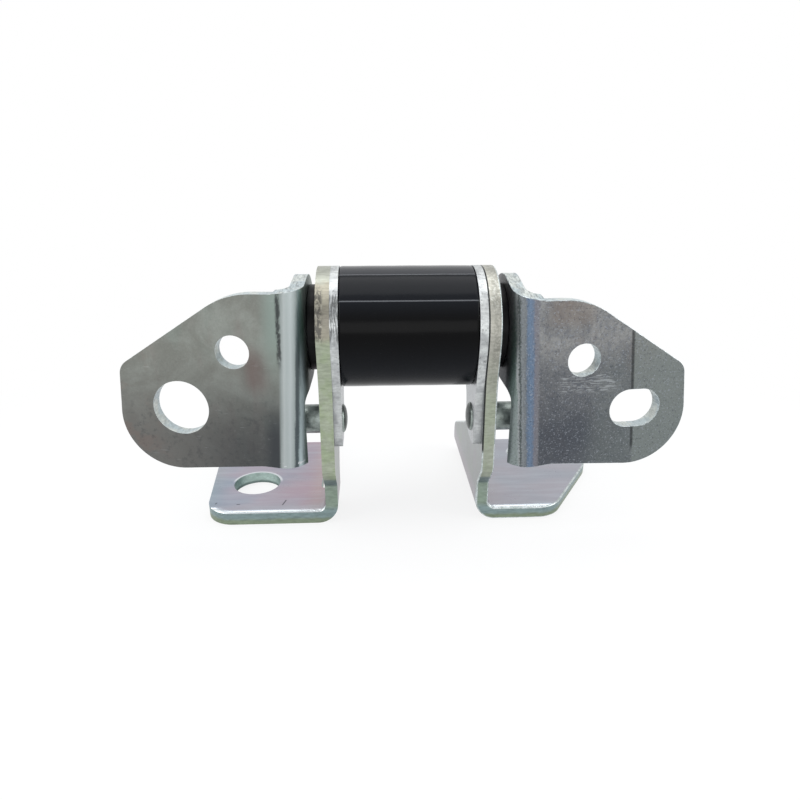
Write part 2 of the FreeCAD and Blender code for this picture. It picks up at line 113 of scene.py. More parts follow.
class Wire:
    """A node socket that takes part in Python arithmetic."""

    def __init__(self, nodes: "Nodes", socket: bpy.types.NodeSocket) -> None:
        """Keep the socket and the node tree it is in."""
        self.nodes = nodes
        self.socket = socket

    def math(self, operation: str, *values: object, clamp: bool = False) -> "Wire":
        """Add a Math node on some values."""
        return self.nodes.node("ShaderNodeMath", {"operation": operation, "use_clamp": clamp},
                               dict(enumerate(values)))

    __add__ = __radd__ = operator("ADD")
    __sub__ = operator("SUBTRACT")
    __rsub__ = operator("SUBTRACT", True)
    __mul__ = __rmul__ = operator("MULTIPLY")
    __truediv__ = operator("DIVIDE")
    __pow__ = operator("POWER")
    most = operator("MAXIMUM")

    def __abs__(self) -> "Wire":
        """This without its sign."""
        return self.math("ABSOLUTE", self)

    def within(self) -> "Wire":
        """This held between nought and one."""
        return self.math("ADD", self, 0.0, clamp=True)

    def step(self, low: float, high: float) -> "Wire":
        """A smooth step that is nought at low and one at high, which may be below low."""
        return self.nodes.node("ShaderNodeMapRange", {"interpolation_type": "SMOOTHSTEP"},
                               {"Value": self, "From Min": low, "From Max": high})

    def band(self, middle: float, half: float, soft: float) -> "Wire":
        """One inside a band about middle, falling to nought over soft on both sides."""
        return abs(self - middle).step(half + soft, half)


class Nodes:
    """A shader node tree, filled by one generic method."""

    def __init__(self, tree: bpy.types.NodeTree) -> None:
        """Start with an empty tree."""
        self.tree = tree
        self.places = {}
        tree.nodes.clear()

    def put(self, socket: bpy.types.NodeSocket, value: object) -> None:
        """Link a wire to a socket, or set the socket's own value.

        Args:
            socket: The input.
            value: A wire, or a number or colour.
        """
        if isinstance(value, Wire):
            self.tree.links.new(value.socket, socket)
        elif hasattr(socket.default_value, "__len__") and not hasattr(value, "__len__"):
            socket.default_value = [value] * len(socket.default_value)
        else:
            socket.default_value = value

    def node(self, kind: str, settings: dict, inputs: dict, output: int | str = 0) -> Wire:
        """Add one node of any kind.

        Args:
            kind: The node's type.
            settings: Properties, set first.
            inputs: Socket names or numbers, with their values or wires.
            output: The output that is wanted.

        Returns:
            The wanted output as a wire.
        """
        made = self.tree.nodes.new(kind)
        for key, value in settings.items():
            setattr(made, key, value)
        for key, value in inputs.items():
            self.put(made.inputs[key], value)
        return Wire(self, made.outputs[output])

    def place(self, centre: Sequence[float] = PIVOT, turn: Sequence[float] = (0, 0, 0),
              scale: Sequence[float] = (1, 1, 1)) -> Wire:
        """Object coordinates in millimetres about a point, made once for each way of asking.

        Args:
            centre: The point in metres.
            turn: Turn in radians about X, Y and Z.
            scale: Extra scale of each axis.

        Returns:
            The coordinates as a wire.
        """
        key = (tuple(centre), tuple(turn), tuple(scale))
        if key not in self.places:
            here = self.node("ShaderNodeTexCoord", {}, {}, "Object")
            moved = self.node("ShaderNodeVectorMath", {"operation": "SUBTRACT"}, {0: here, 1: key[0]})
            factors = tuple(value / MM for value in scale)
            self.places[key] = self.node("ShaderNodeMapping", {},
                                         {"Vector": moved, "Rotation": key[1], "Scale": factors})
        return self.places[key]

    def part(self, vector: Wire, axis: str) -> Wire:
        """One component of a vector."""
        return self.node("ShaderNodeSeparateXYZ", {}, {0: vector}, "XYZ".index(axis))

    def noise(self, scale: float, detail: float = 3.0, rough: float = 0.55, warp: float = 0.0,
              stretch: Sequence[float] = (1, 1, 1), turn: Sequence[float] = (0, 0, 0),
              shift: Sequence[float] = (0, 0, 0)) -> Wire:
        """Fractal noise from nought to one.

        Args:
            scale: Features per millimetre.
            detail: How many finer layers it has.
            rough: How strong the finer layers are.
            warp: How far it is bent by itself.
            stretch: Extra scale of each axis; less than one draws it out.
            turn: Turn in radians.
            shift: Shift in metres.

        Returns:
            The noise.
        """
        where = self.place(PIVOT + Vector(shift), turn, stretch)
        return self.node("ShaderNodeTexNoise", {}, {"Vector": where, "Scale": scale, "Detail": detail,
                                                    "Roughness": rough, "Distortion": warp})

    def ramp(self, amount: Wire, stops: Sequence[tuple[float, tuple]]) -> Wire:
        """A colour ramp.

        Args:
            amount: The place on the ramp.
            stops: (place, colour) stops.

        Returns:
            The colour.
        """
        wire = self.node("ShaderNodeValToRGB", {}, {0: amount})
        elements = wire.socket.node.color_ramp.elements
        while len(elements) < len(stops):
            elements.new(0.5)
        for element, (place, shade) in zip(elements, stops):
            element.position = place
            element.color = shade
        return wire

    def mix(self, amount: object, first: object, second: object, blend: str = "MIX") -> Wire:
        """Blend two colours by an amount."""
        return self.node("ShaderNodeMix", {"data_type": "RGBA", "blend_type": blend, "clamp_factor": True},
                         {"Factor": amount, 6: first, 7: second}, 2)

    def bump(self, height: Wire, depth_mm: float, normal: Wire | None = None) -> Wire:
        """A bump of a real depth in millimetres."""
        inputs = {"Height": height, "Strength": 1.0, "Distance": depth_mm * MM}
        if normal is not None:
            inputs["Normal"] = normal
        return self.node("ShaderNodeBump", {}, inputs)


class Paint(Nodes):
    """Builds one material's node tree."""

    def __init__(self, name: str) -> None:
        """Make a node material with one Principled shader."""
        self.material = bpy.data.materials.new(name)
        self.material.use_nodes = True
        super().__init__(self.material.node_tree)
        self.output = self.tree.nodes.new("ShaderNodeOutputMaterial")
        self.shader = self.tree.nodes.new("ShaderNodeBsdfPrincipled")
        self.tree.links.new(self.shader.outputs[0], self.output.inputs[0])

    def finish(self, shade: object, metallic: float, **sockets: object) -> bpy.types.Material:
        """Set the shader's sockets; a metal's colour is toned for the white room that it shows.

        Args:
            shade: The colour.
            metallic: How metallic it is.
            **sockets: Other sockets' values or wires; an underscore stands for a space.

        Returns:
            The finished material.
        """
        toned = self.mix(1.0, shade, METAL_TONE, "MULTIPLY") if metallic > 0 else shade
        for name, value in {"Base Color": toned, "Metallic": metallic, **sockets}.items():
            self.put(self.shader.inputs[name.replace("_", " ")], value)
        return self.material


class Coat:
    """The colour laid so far on a surface, with each point's place about the pin."""

    def __init__(self, paint: Paint, *base: int) -> None:
        """Start from a shade of three numbers."""
        self.paint = paint
        self.shade = colour(*base)
        where = paint.place()
        self.across, self.back, self.up = (paint.part(where, axis) for axis in "XYZ")
        self.out = abs(self.across)

    def lay(self, amount: object, *shade: object) -> None:
        """Blend a shade of three numbers, or a colour that is worked out, over the coat."""
        over = shade[0] if len(shade) == 1 else colour(*shade)
        self.shade = self.paint.mix(amount, self.shade, over)

    def dim(self, amount: Wire, *stops: tuple[float, float, float, float]) -> None:
        """Multiply the coat by (place, red, green, blue) factors along an amount."""
        factors = self.paint.ramp(amount, [(place, (*factor, 1)) for place, *factor in stops])
        self.shade = self.paint.mix(1.0, self.shade, factors, "MULTIPLY")

    def stripes(self, place: Wire, *stops: tuple[float, int, int, int]) -> Wire:
        """Colours along a place, given as (millimetres, red, green, blue), nearest first.

        Args:
            place: The place in millimetres.
            *stops: The colours and where they lie.

        Returns:
            The colour.
        """
        near, far = stops[0][0], stops[-1][0]
        shades = [((stop - near) / (far - near), colour(*shade)) for stop, *shade in stops]
        return self.paint.ramp(((place - near) / (far - near)).within(), shades)

    def reach(self, middle: Sequence[float]) -> Wire:
        """Distance from the upright line through a point (across, back)."""
        aside, behind = self.across - middle[0], self.back - middle[1]
        return (aside * aside + behind * behind) ** 0.5


@dataclass(frozen=True)
class ZincFace:
    """Zinc plated sheet, mottled, with passivation tints and stamping marks."""

    name: str
    bright: tuple
    dull: tuple
    tints: tuple
    mottle: float
    roughness: float
    marks: Callable[[Coat], None] | None = None
    relief: Callable[[Coat], Wire] | None = None

    def make(self) -> bpy.types.Material:
        """Build the plated sheet.

        Colour runs between a dull and a bright shade by fractal noise, takes faint tints in large
        soft patches, then fine specks and thin scratches; roughness follows the same noise. The
        relief, in millimetres, rolls an edge over.

        Returns:
            The material.
        """
        paint = Paint(self.name)
        cloud = paint.noise(0.09, 4.0, 0.6, 0.6)
        grain = paint.noise(1.6, 3.0, 0.6)
        speck = paint.noise(2.7, 2.0, 0.7)
        coat = Coat(paint, *self.dull)
        coat.lay(cloud.step(0.36, 0.66), *self.bright)
        for index, (amount, *tint) in enumerate(self.tints):
            patch = paint.noise(0.12, 2.0, 0.5, 0.8, (1, 1, 0.45), shift=(0.03 * index, 0.02, 0.05))
            coat.lay(patch.step(0.5, 0.68) * amount, *tint)
        fine = (grain - 0.5) * self.mottle + (speck - 0.5) * (self.mottle * 0.7)
        coat.dim((fine + 0.5).within(), (0.0, 0.55, 0.55, 0.56), (0.5, 1, 1, 1), (1.0, 1.5, 1.5, 1.5))
        if self.marks is not None:
            self.marks(coat)
        scratch = paint.noise(1.1, 2.0, 0.7, stretch=(0.12, 1, 2.2), turn=(0.0, 0.35, 0.1)).step(0.7, 0.74)
        coat.lay(scratch * 0.16, 214, 216, 216)
        rough = self.roughness + (grain - 0.5) * 0.18 + (cloud - 0.5) * 0.14
        height = grain * 0.5 + speck * 0.35 - scratch * 0.4
        rolled = None if self.relief is None else paint.bump(self.relief(coat), 1.0)
        return paint.finish(coat.shade, 0.9, Roughness=rough.within(),
                            Normal=paint.bump(height, 0.035, rolled))


@dataclass(frozen=True)
class CutEdge:
    """A stamped sheet's cut edge: smooth sheared metal and torn patches, streaked across the sheet."""

    name: str
    smooth: tuple
    torn: tuple
    along: tuple
    marks: Callable[[Coat], None]

    def make(self) -> bpy.types.Material:
        """Build the cut edge: noise drawn out into streaks, with torn patches lighter and rougher.

        Returns:
            The material.
        """
        paint = Paint(self.name)
        streak = paint.noise(1.3, 3.0, 0.65, stretch=self.along)
        patch = paint.noise(0.22, 3.0, 0.6)
        grit = paint.noise(3.2, 2.0, 0.6)
        coat = Coat(paint, *self.smooth)
        coat.lay(patch.step(0.42, 0.6), *self.torn)
        self.marks(coat)
        coat.dim(streak, (0.25, 0.72, 0.72, 0.72), (0.55, 1, 1, 1), (0.8, 1.22, 1.22, 1.22))
        rough = 0.4 + (patch - 0.5) * 0.3 + (grit - 0.5) * 0.2
        return paint.finish(coat.shade, 0.75, Roughness=rough.within(),
                            Normal=paint.bump(streak * 0.7 + grit * 0.3, 0.06))


@dataclass(frozen=True)
class WornRim:
    """The rubbed corner between a sheet's face and its cut edge, bright where it is bare."""

    name: str
    bright: tuple
    dull: tuple
    # places across, and the height above which, the rim takes painted shade in the seams
    seam_shade_places_mm: tuple = ()
    seam_shade_above_mm: float = 0.0

    def make(self) -> bpy.types.Material:
        """Build the rim: broken bright metal, with black painted shade where plates meet.

        Returns:
            The material.
        """
        paint = Paint(self.name)
        broken = paint.noise(0.6, 4.0, 0.7)
        coat = Coat(paint, *self.dull)
        coat.lay(broken.step(0.38, 0.6), *self.bright)
        # painted shade: black lines on the rim at the given places across, above the given height, where the
        # link plates meet the bracket and the barrel
        up = coat.up.step(self.seam_shade_above_mm - 1.5, self.seam_shade_above_mm)
        for place in self.seam_shade_places_mm:
            coat.lay(coat.out.band(place, 0.45, 0.2) * up * 0.95, 36, 36, 35)
        rough = 0.26 + (broken - 0.5) * 0.2
        return paint.finish(coat.shade, 0.85, Roughness=rough.within(), Normal=paint.bump(broken, 0.05))


@dataclass(frozen=True)
class BlackMoulding:
    """Glossy black moulding with two fine mould lines and faint dust, and painted reflections."""

    name: str = "black_moulding_gloss"
    base: tuple = (4, 4, 5)
    # painted reflection shades: a dark grey band, and a lighter grey over the top
    reflection_band: tuple = (20, 22, 26)
    top_reflection: tuple = (56, 57, 60)
    line_degrees: tuple = (36.0, 67.3)

    def make(self) -> bpy.types.Material:
        """Build the barrel's finish, with painted reflection bands by the angle about the pin.

        The angle about the pin is the arc tangent of height over distance to the front; each mould
        line is a narrow band of that angle.

        Returns:
            The material.
        """
        paint = Paint(self.name)
        wave = paint.noise(0.5, 2.0, 0.5, stretch=(0.15, 1, 1))
        dust = paint.noise(6.0, 2.0, 0.6).step(0.7, 0.78)
        coat = Coat(paint, *self.base)
        angle = paint.node("ShaderNodeMath", {"operation": "ARCTAN2"}, {0: coat.up, 1: coat.back * -1.0})
        low, high = (math.radians(degrees) for degrees in self.line_degrees)
        lines = angle.band(low, 0.006, 0.008) + angle.band(high, 0.006, 0.008)
        # painted reflection: dark grey rising to the lower mould line and above it, lighter grey over the top
        # beyond the upper line, and dark grey again below the front
        coat.lay(angle.step(low - 0.35, low + 0.05), *self.reflection_band)
        coat.lay(angle.step(high - 0.004, high + 0.004), *self.top_reflection)
        coat.lay(angle.step(0.15, -0.75), *self.reflection_band)
        # painted highlight along the two mould lines; their ridges themselves are real bumps
        coat.lay(lines * 0.5, 120, 122, 126)
        coat.lay(dust * 0.08, 150, 150, 155)
        rough = 0.13 + wave * 0.07 + dust * 0.2
        return paint.finish(coat.shade, 0.0, Roughness=rough.within(), Specular_IOR_Level=0.085,
                            Normal=paint.bump(wave * 0.3 + lines, 0.05))


@dataclass(frozen=True)
class PlainSurface:
    """A turned or moulded small part: one base colour with turning rings, grain and dirt, and painted shade
    inside a given reach.
    """

    name: str
    base: tuple
    dirt: tuple
    metallic: float
    roughness: float
    rings: float
    specular: float = 0.5
    # reach across the pin inside which the part is darkened as painted shade
    shaded_within_mm: float = 0.0

    def make(self) -> bpy.types.Material:
        """Build the finish: dirt in soft patches over the base, and fine grain.

        Returns:
            The material.
        """
        paint = Paint(self.name)
        patch = paint.noise(0.5, 4.0, 0.6, 0.2)
        grain = paint.noise(3.5, 2.0, 0.6)
        ringed = paint.noise(0.8, 2.0, 0.6, stretch=(6, 0.2, 0.2))
        coat = Coat(paint, *self.base)
        coat.lay(patch.step(0.38, 0.74), *self.dirt)
        # painted shade: darker inside the given reach across the pin, where the part sits within the plates
        if self.shaded_within_mm > 0:
            coat.lay(coat.out.step(self.shaded_within_mm, self.shaded_within_mm - 0.3) * 0.8, 58, 60, 58)
        rough = self.roughness + (grain - 0.5) * 0.2 + (patch - 0.5) * 0.15
        return paint.finish(coat.shade, self.metallic, Roughness=rough.within(),
                            Specular_IOR_Level=self.specular,
                            Normal=paint.bump(grain * 0.4 + ringed * self.rings, 0.04))


def smooth_by_angle(piece: bpy.types.Object, degrees: float) -> None:
    """Shade a mesh smooth and keep edges sharper than an angle.

    Args:
        piece: The mesh object.
        degrees: Edges that turn more than this stay sharp.
    """
    mesh = piece.data
    mesh.polygons.foreach_set("use_smooth", np.ones(len(mesh.polygons), dtype=bool))
    mesh.set_sharp_from_angle(angle=math.radians(degrees))
    mesh.update()


def new_object(name: str, data: bpy.types.ID) -> bpy.types.Object:
    """Make an object of some data and put it in the scene."""
    item = bpy.data.objects.new(name, data)
    bpy.context.scene.collection.objects.link(item)
    return item


def new_piece(name: str, points: np.ndarray, faces: Iterable) -> bpy.types.Object:
    """Make a mesh object from points in metres.

    Args:
        name: The piece's name.
        points: Rows of X, Y, Z.
        faces: Rows of point numbers.

    Returns:
        The new object, at the origin.
    """
    mesh = bpy.data.meshes.new(name)
    mesh.from_pydata(points.tolist(), [], [list(face) for face in faces])
    mesh.update()
    return new_object(name, mesh)


@dataclass
class SheetPiece:
    """A folded sheet: the node's own solid with its burred and rolled edges rounded."""

    node: str
    face: bpy.types.Material
    edge: bpy.types.Material
    rim: bpy.types.Material
    body: str
    slot: str
    is_edge: Callable[[np.ndarray, np.ndarray], np.ndarray]
    round_mm: float
    join_mm: float = 0.002
    flat_degrees: float = 0.6
    sharp_degrees: float = 35.0
    round_degrees: float = 40.0

    def build(self) -> None:
        """Copy the node, join its triangles, round its edges and dress its faces and cut edges."""
        mesh = frame["nodes"][self.node].data.copy()
        mesh.materials.clear()
        work = bmesh.new()
        work.from_mesh(mesh)
        bmesh.ops.remove_doubles(work, verts=work.verts, dist=self.join_mm * MM)
        bmesh.ops.dissolve_limit(work, angle_limit=math.radians(self.flat_degrees), verts=work.verts,
                                 edges=work.edges)
        bmesh.ops.recalc_face_normals(work, faces=work.faces)
        work.to_mesh(mesh)
        work.free()
        piece = new_object(self.node + "_sheet", mesh)
        for material in (self.face, self.edge, self.rim):
            mesh.materials.append(material)
        cut = self.is_edge(np.array([face.center for face in mesh.polygons]),
                           np.array([face.normal for face in mesh.polygons]))
        mesh.polygons.foreach_set("material_index", cut.astype(np.int32))
        smooth_by_angle(piece, self.sharp_degrees)
        self.round_edges(piece)
        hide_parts(self.node)
        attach(piece, self.body)
        LOG.info("%s: %d faces", piece.name, len(mesh.polygons))

    def round_edges(self, piece: bpy.types.Object) -> None:
        """Round every sharp edge and give the round the rim's material, the last one.

        Args:
            piece: The mesh object.
        """
        bevel = piece.modifiers.new("edges", "BEVEL")
        bevel.width = self.round_mm * MM
        bevel.segments = 3
        bevel.limit_method = "ANGLE"
        bevel.angle_limit = math.radians(self.round_degrees)
        bevel.harden_normals = True
        bevel.use_clamp_overlap = True
        bevel.material = len(piece.data.materials) - 1


@dataclass
class TurnedPiece:
    """A piece turned about a line along X."""

    name: str
    node: str
    body: str
    slot: str
    finish: bpy.types.Material
    profile: Sequence[tuple[float, float]]
    axis: Vector
    around: int = 96
    closed: bool = True
    swell: Callable[[np.ndarray, np.ndarray, np.ndarray], np.ndarray] | None = None
    join_mm: float = 0.001
    sharp_degrees: float = 40.0

    def build(self) -> None:
        """Turn the profile: each point (along, radius) in millimetres goes once round the axis.

        A point at angle a lies at radius times (cos a, sin a) in the plane across the axis; swell
        may change the radius by place and angle.
        """
        along, radius = np.array(self.profile).T
        turn = np.linspace(0, 2 * math.pi, self.around, endpoint=False)
        places, angles = np.meshgrid(along, turn, indexing="ij")
        radii = np.repeat(radius[:, None], self.around, axis=1)
        if self.swell is not None:
            radii = self.swell(places, radii, angles)
        points = np.stack((places, radii * np.cos(angles), radii * np.sin(angles)), axis=-1)
        points = points.reshape(-1, 3) * MM + np.array(self.axis)
        number = np.arange(radii.size).reshape(radii.shape)
        after = np.roll(number, -1, axis=0)
        faces = np.stack((number, np.roll(number, -1, axis=1), np.roll(after, -1, axis=1), after), axis=-1)
        faces = (faces if self.closed else faces[:-1]).reshape(-1, 4)
        piece = new_piece(self.name, points, faces)
        work = bmesh.new()
        work.from_mesh(piece.data)
        bmesh.ops.remove_doubles(work, verts=work.verts, dist=self.join_mm * MM)
        bmesh.ops.recalc_face_normals(work, faces=work.faces)
        work.to_mesh(piece.data)
        work.free()
        piece.data.materials.append(self.finish)
        smooth_by_angle(piece, self.sharp_degrees)
        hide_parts(self.node)
        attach(piece, self.body)
        LOG.info("%s: %d faces", piece.name, len(piece.data.polygons))


def rounded(points: Sequence[tuple[float, float, float]], steps: int = 4) -> list[tuple[float, float]]:
    """Round the corners of a closed half section.

    Each corner with a radius becomes an arc that touches both its edges.

    Args:
        points: (along, radius, round) in millimetres, round nought for a sharp corner.
        steps: Points on each arc, less one.

    Returns:
        The section's points.
    """
    result = []
    count = len(points)
    for index, (along, height, size) in enumerate(points):
        here = Vector((along, height))
        if size <= 0:
            result.append((along, height))
            continue
        back = (Vector(points[index - 1][:2]) - here).normalized()
        ahead = (Vector(points[(index + 1) % count][:2]) - here).normalized()
        half = back.angle(ahead) / 2
        centre = here + (back + ahead).normalized() * (size / math.sin(half))
        first = here + back * (size / math.tan(half)) - centre
        last = here + ahead * (size / math.tan(half)) - centre
        for step in range(steps + 1):
            spoke = first.slerp(last, step / steps)
            result.append(tuple(centre + spoke.normalized() * size))
    return result


def node_box(node: str) -> tuple[Vector, Vector]:
    """A node's lowest and highest corners, in millimetres about the pin."""
    low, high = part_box(node)
    return (Vector(low) - PIVOT) / MM, (Vector(high) - PIVOT) / MM


def along_x(centre: np.ndarray, normal: np.ndarray) -> np.ndarray:
    """Faces that run along X, which are the cut faces of a flat plate across X."""
    return np.abs(normal[:, 0]) < RUNS_ALONG


@dataclass
class Brackets:
    """The body side's folded and flat plates."""

    fold_top_mm: float = 7.5
    flat_from_mm: float = 29.1
    foot_up_mm: tuple = (-50.0, -56.0)
    foot_holes_mm: tuple = ((-52.0, 9.4), (50.0, 29.0))
    corner_mm: tuple = (56.5, -1.8)
    roll_from_mm: float = 6.6
    roll_per_mm: float = 0.16
    foot_nicks_mm: tuple = (((-40.7, -4.7), 0.26, 1.9), ((-55.8, -5.3), 1.5, 0.8), ((-63.3, -4.4), 0.4, 0.7))
    bracket_round_mm: float = 0.45
    plate_round_mm: float = 0.3

    def face_marks(self, coat: Coat) -> None:
        """Tint the bracket faces: lilac and blue on the feet, small rub marks, and painted highlights at
        front edges and holes.

        Args:
            coat: The coat.
        """
        paint, out = coat.paint, coat.out
        foot = coat.up.step(*self.foot_up_mm)
        sheen = Coat(paint, 172, 180, 196)
        sheen.lay(paint.noise(0.07, 2.0, 0.5, stretch=(0.5, 1, 1)).step(0.38, 0.6), 200, 186, 198)
        blush = paint.noise(0.05, 2.0, 0.5).step(0.34, 0.6) * out.step(54.0, 32.0)
        sheen.lay(blush * 0.6, 208, 172, 182)
        sheen.lay(out.step(35.0, 29.0) * 0.35, 222, 192, 176)
        sheen.lay(coat.back.step(-3.0, -10.0) * 0.35, 190, 206, 210)
        sheen.lay(out.step(60.0, 70.0) * 0.45, 178, 200, 200)
        sheen.lay(coat.across.step(-3.0, 3.0) * 0.7, 194, 192, 198)
        lines = paint.noise(0.5, 3.0, 0.6, stretch=(0.12, 1, 1), turn=(0.0, 0.0, 0.4))
        sheen.lay(lines.step(0.4, 0.7) * 0.22, 226, 232, 238)
        coat.lay(foot * 0.9, sheen.shade)
        coat.lay(foot * out.step(30.0, 26.4) * 0.5, 170, 160, 166)
        # painted highlight: a white ring round the far rim of each foot hole
        for middle in self.foot_holes_mm:
            hole_rim_highlight = coat.reach(middle).step(9.1, 8.5) * coat.back.step(middle[1], middle[1] + 3)
            coat.lay(hole_rim_highlight * foot * 0.9, 250, 252, 252)
        for middle, turn, size in self.foot_nicks_mm:
            spot = paint.place(PIVOT + Vector((*middle, 0)) * MM, (0, 0, turn))
            thin = abs(paint.part(spot, "X")).step(0.35, 0.1)
            nick_and_glint = thin * abs(paint.part(spot, "Y")).step(size, size - 0.4)
            coat.lay(nick_and_glint * foot * 0.8, 70, 72, 80)
        # painted highlight: a pale teal glow and a white line along the feet's rolled front edges and round
        # the front corners
        outline = self.near_front(coat)
        coat.lay(outline.step(6.4, 8.8) * foot * 0.4, 206, 226, 228)
        coat.lay(outline.step(7.6, 8.6) * foot * 0.9, 250, 253, 252)

    def near_front(self, coat: Coat) -> Wire:
        """Distance past the rounded front corner's middle, its radius at the outline and nought behind.

        Args:
            coat: The coat.

        Returns:
            The distance in millimetres.
        """
        aside = (coat.out - self.corner_mm[0]).most(0.0)
        ahead = (coat.back * -1.0 + self.corner_mm[1]).most(0.0)
        return (aside * aside + ahead * ahead) ** 0.5 * ahead.step(2.5, 6.0)

    def rolled(self, coat: Coat) -> Wire:
        """The feet's front edge falls away as the square of the distance over its last millimetres."""
        past = (self.near_front(coat) - self.roll_from_mm).most(0.0)
        return past * past * coat.up.step(*self.foot_up_mm) * -self.roll_per_mm

    def edge_marks(self, coat: Coat) -> None:
        """Tint the brackets' cut edges: beige and pitted by the barrel, green below, teal at the foot, with
        painted light and shade.

        Args:
            coat: The coat.
        """
        paint, across, up = coat.paint, coat.across, coat.up
        wave = paint.noise(0.35, 3.0, 0.6) - 0.5
        waved = up + wave * 3.0
        left = across.step(3.0, -3.0)
        right = 1.0 - left
        high = waved.step(-1.5, 2.0) * left + up.step(-24.0, 0.0) * right
        head = Coat(paint, 198, 192, 180)
        head.lay(left, 176, 166, 150)
        head.lay(left * up.band(6.5, 1.5, 4.0) * 0.8, 148, 138, 128)
        head.lay(left * waved.step(14.6, 16.0), 188, 186, 174)
        coat.lay(right * up.step(-52.0, -44.0) * 0.5, 182, 183, 170)
        coat.lay(high * 0.85, head.shade)
        clots = paint.noise(0.9, 4.0, 0.7, 0.6, (1.2, 0.6, 0.6))
        torn = high * (across * -1.0).step(23.9, 25.0) * up.step(16.0, 12.0)
        coat.lay(torn * clots.step(0.44, 0.54) * 0.75, 76, 74, 72)
        coat.lay(torn * clots.step(0.4, 0.32) * 0.6, 214, 212, 204)
        bared = high * right * up.step(5.0, 12.0) * clots.step(0.5, 0.42)
        coat.lay(bared * 0.6, 238, 236, 224)
        pits = paint.noise(1.5, 4.0, 0.75).step(0.45, 0.6)
        coat.lay(high * across.step(23.2, 24.4) * (1.0 - pits) * 0.35, 96, 96, 88)
        coat.lay(up.step(-47.0, -49.0) * 0.6, 142, 162, 154)
        layer = Coat(paint, 150, 160, 130)
        layer.lay((up + wave * 1.2).step(-61.4, -60.0), 150, 170, 174)
        coat.lay(up.step(-56.0, -58.4) * 0.7, layer.shade)
        # painted shade: a blue-grey band across the edges just above the feet, where they turn down
        coat.lay(up.band(-47.0, 0.9, 1.6) * 0.75, 116, 132, 142)
        # painted light and shade in the foot holes: the walls pale, darker at their sides and towards the
        # bottom
        for middle in self.foot_holes_mm:
            hole_wall_lighting = coat.reach(middle).step(9.6, 8.8) * up.step(-50.0, -54.0)
            ends = abs(across - middle[0]).step(4.6, 7.8) * 0.75
            coat.lay(hole_wall_lighting, 206, 226, 216)
            coat.lay(hole_wall_lighting * ends, 104, 136, 132)
            coat.lay(hole_wall_lighting * up.step(-61.2, -62.0) * 0.7, 84, 102, 98)

    def link_marks(self, coat: Coat) -> None:
        """Dark pitted patches on the link plates' edges beside the barrel.

        Args:
            coat: The coat.
        """
        paint, up = coat.paint, coat.up
        pits = paint.noise(1.4, 4.0, 0.75).step(0.52, 0.66)
        worn = paint.noise(0.3, 2.0, 0.5).step(0.42, 0.56) * up.step(-16.0, -8.0)
        coat.lay(pits * worn * 0.7, 84, 84, 82)
        left = coat.across.step(3.0, -3.0)
        drawn = paint.noise(1.2, 3.0, 0.65, stretch=(2.6, 0.3, 0.3)).step(0.4, 0.56)
        coat.lay(left * drawn * up.band(6.5, 5.0, 3.0) * 0.75, 76, 76, 75)

    def build(self) -> None:
        """Build both brackets and both link plates."""
        face = ZincFace("bracket_face", (176, 178, 176), (158, 160, 158),
                        ((0.4, 162, 172, 150), (0.35, 172, 160, 170)), 0.22, 0.32,
                        self.face_marks, self.rolled).make()
        edge = CutEdge("bracket_cut_edge", (182, 192, 160), (190, 196, 172), (0.3, 1.0, 1.0),
                       self.edge_marks).make()
        bright = ZincFace("link_face", (206, 207, 207), (184, 185, 186), (), 0.2, 0.3).make()
        bright_edge = CutEdge("link_cut_edge", (204, 204, 202), (232, 232, 228), (0.4, 1.0, 1.0),
                              self.link_marks).make()
        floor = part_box("bracket_left")[0][2]
        link_low, link_high = node_box("link_plate_right")
        # the plate rim takes painted shade at both faces of the link plates, above their lowest point
        rim = WornRim("plate_rim", (238, 242, 240), (196, 204, 198),
                      (link_low.x, link_high.x), link_low.z).make()

        def bracket_edge(centre: np.ndarray, normal: np.ndarray) -> np.ndarray:
            """Cut faces: those square to the sheet, which lies along X up the arm and flat in the foot."""
            low = centre[:, 2] < floor + self.fold_top_mm * MM
            flat = low & (np.abs(centre[:, 0]) > self.flat_from_mm * MM)
            fold_cut = np.abs(normal[:, 1]) > POINTS_ALONG
            foot_cut = np.abs(normal[:, 2]) < RUNS_ALONG
            return np.where(flat, foot_cut, np.where(low, fold_cut, along_x(centre, normal)))

        for side in Side:
            SheetPiece("bracket_" + side.word, face, edge, rim, "body_side", "bracket_zinc",
                       bracket_edge, self.bracket_round_mm).build()
            SheetPiece("link_plate_" + side.word, bright, bright_edge, rim, "body_side", "bright_zinc",
                       along_x, self.plate_round_mm).build()


